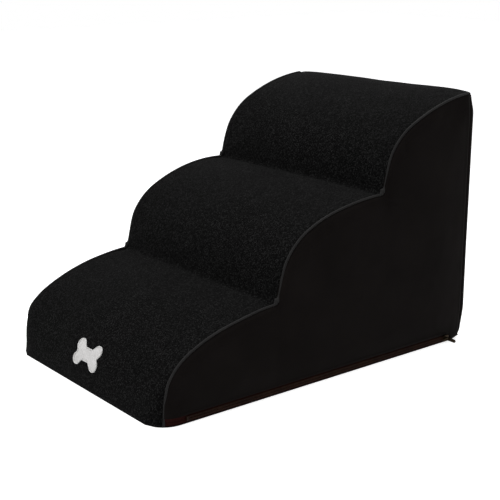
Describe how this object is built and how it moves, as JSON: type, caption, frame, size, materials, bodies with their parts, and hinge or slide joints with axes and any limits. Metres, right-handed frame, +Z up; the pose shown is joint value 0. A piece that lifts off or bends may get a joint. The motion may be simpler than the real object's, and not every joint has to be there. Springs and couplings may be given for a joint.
{
  "type": "pet stairs",
  "caption": "Padded pet stairs: a stepped foam block with rounded noses in a dark zipped cover, with piped side seams and a plain pale bone patch on the lowest nose.",
  "frame": {"origin": "middle of the face that the stairs stand on", "axes": "+Z up, +Y from the low front step to the high back, +X to the side with the zip, on the right of someone who faces the low step"},
  "size_m": [0.4234, 0.5996, 0.3998],
  "materials": {
    "tread_knit": "coarse matt knit, near black",
    "side_cloth": "smooth matt cloth, near black",
    "back_cloth": "smooth matt cloth, near black",
    "base_cloth": "dark cloth with small raised rubber dots",
    "piping_cloth": "dark cloth over a cord, slight sheen",
    "piping_core": "off white twisted cotton cord",
    "foam": "pale open cell foam",
    "bone_felt": "pale grey felt",
    "bone_stitching": "dense pale satin stitching",
    "zip_tape": "dark brown woven tape",
    "zip_teeth": "dark brown nylon coil",
    "zip_metal": "antique brass, worn"
  },
  "bodies": {
    "stairs": {"foam_core": "foam", "base_panel": "base_cloth", "back_panel": "back_cloth", "side_panel_left": "side_cloth", "side_panel_right": "side_cloth", "tread_cover": "tread_knit", "piping_right": "piping_cloth", "piping_left": "piping_cloth", "piping_cord_right": "piping_core", "piping_cord_left": "piping_core", "zipper_tape_upper": "zip_tape", "zipper_tape_lower": "zip_tape", "zipper_coil_upper": "zip_teeth", "zipper_coil_lower": "zip_teeth", "zipper_stop_front": "zip_metal", "zipper_stops_rear": "zip_metal", "bone_patch": "bone_felt", "bone_patch_border": "bone_stitching"},
    "zipper_slider": {"zipper_slider": "zip_metal"},
    "zipper_pull": {"zipper_pull": "zip_metal"}
  },
  "joints": [
    {"name": "slider_travel", "type": "slide", "parent": "stairs", "child": "zipper_slider", "axis": [0, -1, 0], "range_m": [0, 0.5044]},
    {"name": "pull_swing", "type": "hinge", "parent": "zipper_slider", "child": "zipper_pull", "pos_m": [0.2032, 0.2602, 0.0075], "axis": [0, 0, 1], "range_deg": [-85, 85]}
  ]
}
